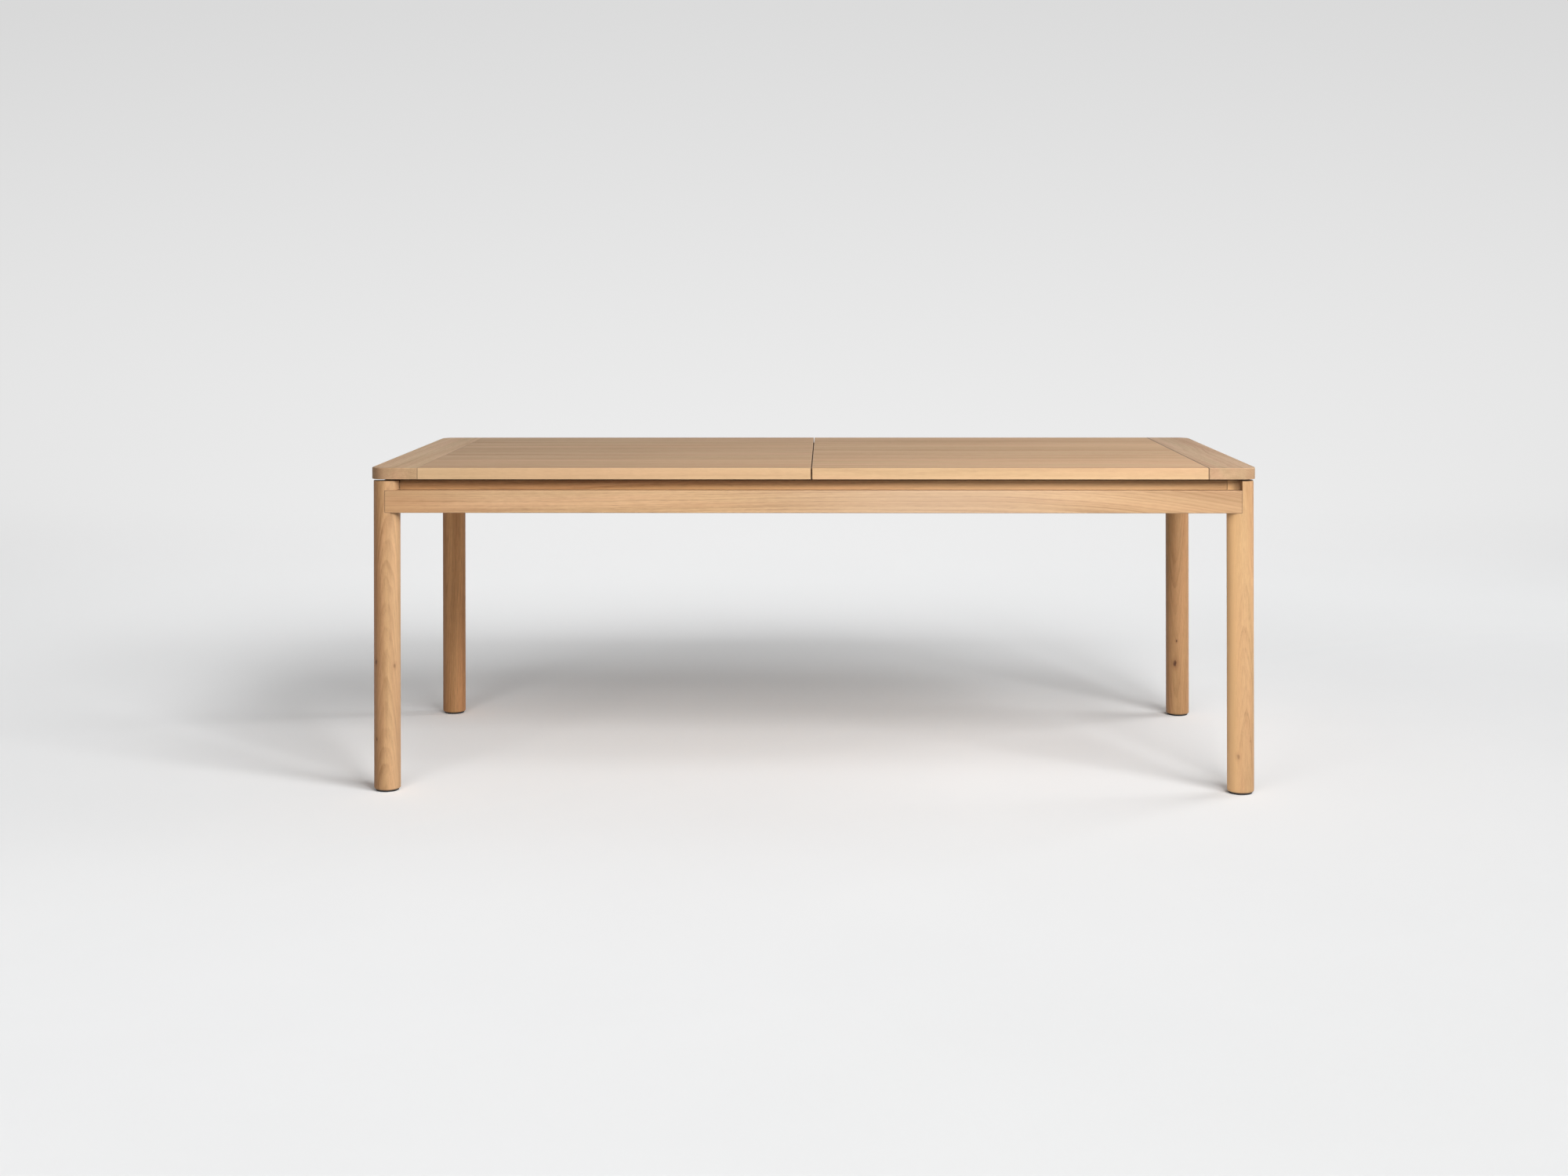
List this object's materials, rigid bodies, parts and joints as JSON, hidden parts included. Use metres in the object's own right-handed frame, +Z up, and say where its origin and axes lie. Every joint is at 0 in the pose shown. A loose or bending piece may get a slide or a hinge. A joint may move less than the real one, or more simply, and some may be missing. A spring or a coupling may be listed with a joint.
{
  "type": "extending dining table",
  "caption": "Oak dining table on round legs: the split top draws apart from the centre over lapped rails, and a folding leaf is stored inside.",
  "frame": {"origin": "on the floor under the middle of the table", "axes": "+X along the table's length, +Y from the front long side to the rear one, +Z up"},
  "size_m": [2, 0.9, 0.735],
  "materials": {
    "oak_top": "satin clear finish, grain along the table",
    "oak_end_board": "satin clear finish, grain across the table",
    "oak_frame": "satin clear finish, grain along each piece",
    "beech_slide": "planed, waxed",
    "hardwood_pin": "turned, bare",
    "zinc_steel": "bright zinc",
    "dark_steel": "black powder coat",
    "hinge_brass": "satin",
    "gear_plastic": "natural nylon",
    "glide_plastic": "matt black",
    "pad_felt": "grey felt",
    "bumper_rubber": "matt"
  },
  "bodies": {
    "frame": {"bearer_pads": "pad_felt", "corner_blocks": "beech_slide", "cross_rail": "beech_slide", "frame_screws": "zinc_steel", "front_rail": "oak_frame", "glides": "glide_plastic", "inner_end_rail_left": "oak_frame", "inner_end_rail_right": "oak_frame", "leaf_bearer_left": "beech_slide", "leaf_bearer_right": "beech_slide", "leaf_hinge_pins": "hinge_brass", "leaf_hinge_plates": "hinge_brass", "leaf_hinge_screws": "hinge_brass", "leaf_panel_lower": "oak_top", "leaf_panel_upper": "oak_top", "leaf_seam_pins": "hardwood_pin", "left_rail": "oak_frame", "leg_bolt_nuts": "zinc_steel", "leg_bolt_washers": "zinc_steel", "leg_bolts": "zinc_steel", "leg_front_left": "oak_frame", "leg_front_right": "oak_frame", "leg_rear_left": "oak_frame", "leg_rear_right": "oak_frame", "pinion_clips": "zinc_steel", "pinion_posts": "zinc_steel", "rear_rail": "oak_frame", "right_rail": "oak_frame", "slide_guide_front": "oak_frame", "slide_guide_rear": "oak_frame", "stop_bumpers": "bumper_rubber", "travel_stops": "beech_slide"},
    "left_top": {"top_panel_left": "oak_top", "end_board_left": "oak_end_board", "end_board_pegs_left": "hardwood_pin", "runner_left_front": "beech_slide", "runner_left_rear": "beech_slide", "battens_left": "beech_slide", "rack_left_front": "gear_plastic", "rack_left_rear": "gear_plastic", "top_screws_left": "zinc_steel", "lock_screws_left": "zinc_steel", "lock_plates": "dark_steel"},
    "right_top": {"top_panel_right": "oak_top", "end_board_right": "oak_end_board", "end_board_pegs_right": "hardwood_pin", "runner_right_front": "beech_slide", "runner_right_rear": "beech_slide", "battens_right": "beech_slide", "rack_right_front": "gear_plastic", "rack_right_rear": "gear_plastic", "top_screws_right": "zinc_steel", "lock_screws_right": "zinc_steel", "lock_keepers": "dark_steel", "seam_pins": "hardwood_pin"},
    "pinion_front": {"pinion_front": "gear_plastic"},
    "pinion_rear": {"pinion_rear": "gear_plastic"},
    "lock_lever_front": {"lock_lever_front": "dark_steel"},
    "lock_lever_rear": {"lock_lever_rear": "dark_steel"}
  },
  "joints": [
    {"name": "left_top_slide", "type": "slide", "parent": "frame", "child": "left_top", "axis": [-1, 0, 0], "range_m": [0, 0.25]},
    {"name": "right_top_slide", "type": "slide", "parent": "frame", "child": "right_top", "axis": [1, 0, 0], "range_m": [0, 0.25]},
    {"name": "pinion_front_spin", "type": "hinge", "parent": "frame", "child": "pinion_front", "pos_m": [0, -0.3375, 0.696], "axis": [0, 0, 1], "range_deg": [0, 797]},
    {"name": "pinion_rear_spin", "type": "hinge", "parent": "frame", "child": "pinion_rear", "pos_m": [0, 0.3375, 0.696], "axis": [0, 0, 1], "range_deg": [-797, 0]},
    {"name": "lock_front_turn", "type": "hinge", "parent": "left_top", "child": "lock_lever_front", "pos_m": [-0.024, -0.25, 0.7045], "axis": [0, 0, 1], "range_deg": [0, 90]},
    {"name": "lock_rear_turn", "type": "hinge", "parent": "left_top", "child": "lock_lever_rear", "pos_m": [-0.024, 0.25, 0.7045], "axis": [0, 0, 1], "range_deg": [-90, 0]}
  ],
  "couplings": [
    {"joint": "right_top_slide", "follows": "left_top_slide", "ratio": 1},
    {"joint": "pinion_front_spin", "follows": "left_top_slide", "rad_per_m": 55.556},
    {"joint": "pinion_rear_spin", "follows": "left_top_slide", "rad_per_m": -55.556}
  ]
}
